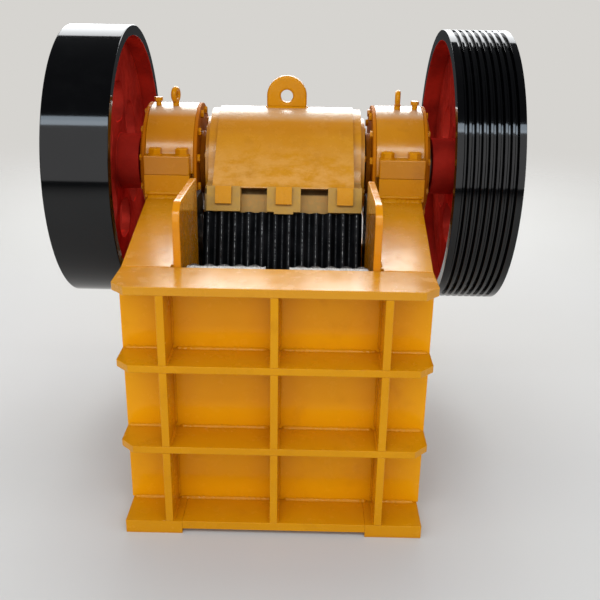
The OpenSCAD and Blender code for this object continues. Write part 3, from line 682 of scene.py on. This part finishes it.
def side_welds():
    rnd = random.Random(23)
    for s, side in ((-1, "left"), (1, "right")):
        bm = bmesh.new()
        flange_and_seat_welds(bm, s, rnd)
        side_post_welds(bm, s, rnd)
        make_piece("side_welds_" + side, bm, "frame", WELD)


def rear_welds():
    rnd = random.Random(31)
    bm = bmesh.new()
    for x0, x1 in ((-320, -13), (13, 320)):
        for z, n in ((LOW_RIB[0], BELOW), (LOW_RIB[1], ABOVE), (REAR_RAIL, BELOW)):
            fillet(bm, mm(x0 + 5, REAR_FACE, z), mm(x1 - 5, REAR_FACE, z), BACK, n, 7, rnd)
    for post in (-SIDE_IN, 0, SIDE_IN):
        for s in (-1, 1):
            x = post + s * HALF_T
            for low, high in ((FOOT_TOP, LOW_RIB[0]), (LOW_RIB[1], REAR_RAIL)):
                fillet(bm, mm(x, REAR_FACE, low + 6), mm(x, REAR_FACE, high - 6), BACK, (s, 0, 0), 7, rnd)
    make_piece("rear_welds", bm, "frame", WELD)


# The barrel's centre and top, the lug's half width and half thickness, and the bolts of the barrel's rings
BARREL_Z = 1030
BARREL_TOP = 1272
LUG_HALF_W = 80
LUG_HALF_T = 20
RING_X = 317
RING_BOLTS_R = 172


def on_circle(x, z, radius, degrees):
    """A point on a circle round an axis across the machine, at height z in the shaft's plane."""
    a = math.radians(degrees)
    return mm(x, AXIS_FROM_FRONT - radius * math.cos(a), z + radius * math.sin(a))


def jaw_fittings():
    """The weld round the lifting lug and the bolts of the rings on the barrel's ends."""
    rnd = random.Random(37)
    bm = bmesh.new()
    for k in range(8):
        for s in (-1, 1):
            place = on_circle(s * RING_X, BARREL_Z, RING_BOLTS_R, 22.5 + 45 * k)
            hex_bolt(bm, place, (s, 0, 0), 24, 6, rnd)
    make_piece("ring_bolts", bm, "swing_jaw", CAST, 30)
    bm = bmesh.new()
    for s, n in ((-1, AHEAD), (1, BACK)):
        y = AXIS_FROM_FRONT + s * LUG_HALF_T
        fillet(bm, mm(-LUG_HALF_W, y, BARREL_TOP), mm(LUG_HALF_W, y, BARREL_TOP), n, ABOVE, 7, rnd)
    for s in (-1, 1):
        x = s * (LUG_HALF_W + 1)
        fillet(bm, mm(x, AXIS_FROM_FRONT - LUG_HALF_T + 3, BARREL_TOP),
               mm(x, AXIS_FROM_FRONT + LUG_HALF_T - 3, BARREL_TOP), (s, 0, 0), ABOVE, 8, rnd)
    make_piece("lug_welds", bm, "swing_jaw", WELD)


# The bearing caps' bolts, and the inner and outer covers with the circles of their bolts
CAP_BOLT_X = (402, 507)
CAP_BOLT_REACH = 239
CAP_FOOT_TOP = 1114
COVER_IN = 346
COVER_IN_BOLTS_R = 214
COVER_OUT = 562
COVER_OUT_BOLTS_R = 221


def bearing_bolts():
    rnd = random.Random(5)
    for s, side in ((-1, "left"), (1, "right")):
        bm = bmesh.new()
        for x in CAP_BOLT_X:
            for y in (AXIS_FROM_FRONT - CAP_BOLT_REACH, AXIS_FROM_FRONT + CAP_BOLT_REACH):
                hex_bolt(bm, mm(s * x, y, CAP_FOOT_TOP), ABOVE, 46, 22, rnd, washer=58)
        for k in range(12):
            degrees = 15 + 30 * k
            inner = on_circle(s * COVER_IN, AXIS_H, COVER_IN_BOLTS_R, degrees)
            outer = on_circle(s * COVER_OUT, AXIS_H, COVER_OUT_BOLTS_R, degrees)
            hex_bolt(bm, inner, (-s, 0, 0), 28, 11, rnd)
            hex_bolt(bm, outer, (s, 0, 0), 24, 10, rnd)
        make_piece("bearing_bolts_" + side, bm, "frame", CAST, 30)


LINER_BOLTS = ((290, 700), (450, 700), (290, 470), (400, 470))


def liner_bolts():
    rnd = random.Random(9)
    bm = bmesh.new()
    for s in (-1, 1):
        for y, z in LINER_BOLTS:
            hex_bolt(bm, mm(s * SIDE_OUT, y, z), (s, 0, 0), 36, 18, rnd, washer=52, stud=10)
    make_piece("liner_bolts", bm, "frame", YELLOW, 30)


# Where a spring's wire starts, how far it rises, its ends, and the nearly flat turns at both ends
SPRING_START = 1338
SPRING_RISE = 194
SPRING_ENDS = (1337.6, 1532.4)
FLAT_TURNS = 0.8
FLAT_RISE = 7


def springs():
    bm = bmesh.new()
    turns, sides, wire, mean = 8.0, 10, 7.5, 38.0
    steps = int(turns * 36)
    along = Vector((0, 1, 0))
    section = [2 * math.pi * k / sides for k in range(sides)]
    for x in (-ROD_X, ROD_X):
        rings = []
        for i in range(steps + 1):
            t = i / steps
            a = 2 * math.pi * turns * t
            rise = min(max((t * turns - FLAT_TURNS) / (turns - 2 * FLAT_TURNS), 0), 1)
            y = SPRING_START + SPRING_RISE * rise
            if t * turns < FLAT_TURNS:
                y += FLAT_RISE * (t * turns / FLAT_TURNS - 1)
            if turns - t * turns < FLAT_TURNS:
                y += FLAT_RISE * (1 - (turns - t * turns) / FLAT_TURNS)
            y = min(max(y, SPRING_ENDS[0]), SPRING_ENDS[1])
            centre = mm(x + mean * math.cos(a), y, ROD_Z + mean * math.sin(a))
            radial = Vector((math.cos(a), 0, math.sin(a)))
            rings.append([centre + (radial * math.cos(b) + along * math.sin(b)) * wire / 1000
                          for b in section])
        sweep(bm, rings)
    coil = make_piece("spring_coils", bm, "frame", SPRING, 60)
    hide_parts("springs")


THREAD_START = 1604
THREAD_CREST = 0.0183
THREAD_ROOT = 0.0169


def rod_threads():
    bm = bmesh.new()
    rings = [(k * ROD_PITCH, THREAD_CREST if k % 2 else THREAD_ROOT) for k in range(14)]
    for x in (-ROD_X, ROD_X):
        sweep(bm, disc_rings(mm(x, THREAD_START, ROD_Z), BACK, rings, 28))
    make_piece("rod_threads", bm, "frame", STEEL, 30)


# Stage and light

BACKGROUND = rgb(214, 212, 208)
FLOOR_REACH = 9
FLOOR_FADE = (2.6, 7.5)


def stage():
    """A pale floor that fades into the world's colour some metres away."""
    s = Shader("pale_floor")
    x, y, z = s.parts()
    tone = s.mix(s.fade(s.noise(0.5, 2), 0.35, 0.7), rgb(206, 204, 200), rgb(208, 206, 203))
    s.done(tone, 0.7, s.bump(s.noise(2, 1), 0.0001))
    away = s.calc("SQRT", s.plus(s.times(x, x), s.times(y, y)))
    clear = s.tree.nodes.new("ShaderNodeBsdfTransparent")
    blend = s.tree.nodes.new("ShaderNodeMixShader")
    s.put(s.fade(away, *FLOOR_FADE), blend.inputs[0])
    s.put(s.bsdf.outputs[0], blend.inputs[1])
    s.put(clear.outputs[0], blend.inputs[2])
    s.put(blend.outputs[0], s.tree.nodes["Material Output"].inputs["Surface"])
    bm = bmesh.new()
    bmesh.ops.create_grid(bm, x_segments=8, y_segments=8, size=FLOOR_REACH)
    mesh = bpy.data.meshes.new("floor")
    bm.to_mesh(mesh)
    bm.free()
    mesh.materials.append(s.mat)
    floor = bpy.data.objects.new("floor", mesh)
    bpy.context.scene.collection.objects.link(floor)


def lamp(name, place, target, wide, tall, glow, colour=(1, 1, 1), mirrored=True, lights=True):
    """A rectangular lamp; glow is its brightness, where 1 is a white wall in full light."""
    data = bpy.data.lights.new(name, "AREA")
    data.shape = "RECTANGLE"
    data.size, data.size_y = wide, tall
    data.energy = glow * math.pi * wide * tall
    data.color = colour
    obj = bpy.data.objects.new(name, data)
    obj.visible_glossy = mirrored
    obj.visible_diffuse = lights
    obj.location = place
    obj.rotation_mode = "QUATERNION"
    obj.rotation_quaternion = (Vector(target) - Vector(place)).to_track_quat("-Z", "Y")
    bpy.context.scene.collection.objects.link(obj)


def light():
    world = bpy.data.worlds.new("studio")
    bpy.context.scene.world = world
    world.use_nodes = True
    tree = world.node_tree
    around = tree.nodes["Background"]
    seen = tree.nodes.new("ShaderNodeBackground")
    mirrored = tree.nodes.new("ShaderNodeBackground")
    for node, colour, strength in ((around, (0.94, 0.97, 1.0, 1), 0.32), (mirrored, (0.9, 0.95, 1.0, 1), 0.1),
                                   (seen, BACKGROUND, 1.0)):
        node.inputs["Color"].default_value = colour
        node.inputs["Strength"].default_value = strength
    path = tree.nodes.new("ShaderNodeLightPath")
    shader = around
    for ray, node in (("Is Glossy Ray", mirrored), ("Is Camera Ray", seen)):
        blend = tree.nodes.new("ShaderNodeMixShader")
        tree.links.new(path.outputs[ray], blend.inputs[0])
        tree.links.new(shader.outputs[0], blend.inputs[1])
        tree.links.new(node.outputs[0], blend.inputs[2])
        shader = blend
    tree.links.new(shader.outputs[0], tree.nodes["World Output"].inputs["Surface"])
    lamp("front", (-0.3, -6.2, 3.3), (0, 0, 2.0), 8.0, 6.0, 1.22, (0.99, 0.99, 1.0))
    lamp("brow", (0, -4.3, 5.1), (0, 0, 1.3), 8.0, 0.75, 7.5, (0.74, 0.87, 1.0))
    lamp("left", (-4.6, -2.6, 3.0), (0, 0, 0.7), 2.4, 2.4, 2.4, (1.0, 0.99, 0.97))
    lamp("right", (4.6, -2.6, 3.0), (0, 0, 0.7), 2.4, 2.4, 2.2, (1.0, 0.99, 0.97))
    lamp("back", (0, 6.8, 4.6), (0, 0, 1.6), 8.0, 5.4, 3.3, (0.98, 0.99, 1.0))
    lamp("bright_sky", (0, 6.9, 4.6), (0, 0, 1.6), 8.0, 5.4, 2.0, (0.94, 0.97, 1.0), lights=False)
    lamp("sky", (0, 2.6, 6.8), (0, 0.1, 1.0), 6.0, 4.4, 1.8, (1.0, 0.99, 0.97), mirrored=False)
    bpy.context.scene.view_settings.view_transform = "Standard"


make_camera()
dress_nodes()
front_welds()
side_welds()
rear_welds()
jaw_fittings()
bearing_bolts()
liner_bolts()
springs()
rod_threads()
stage()
light()
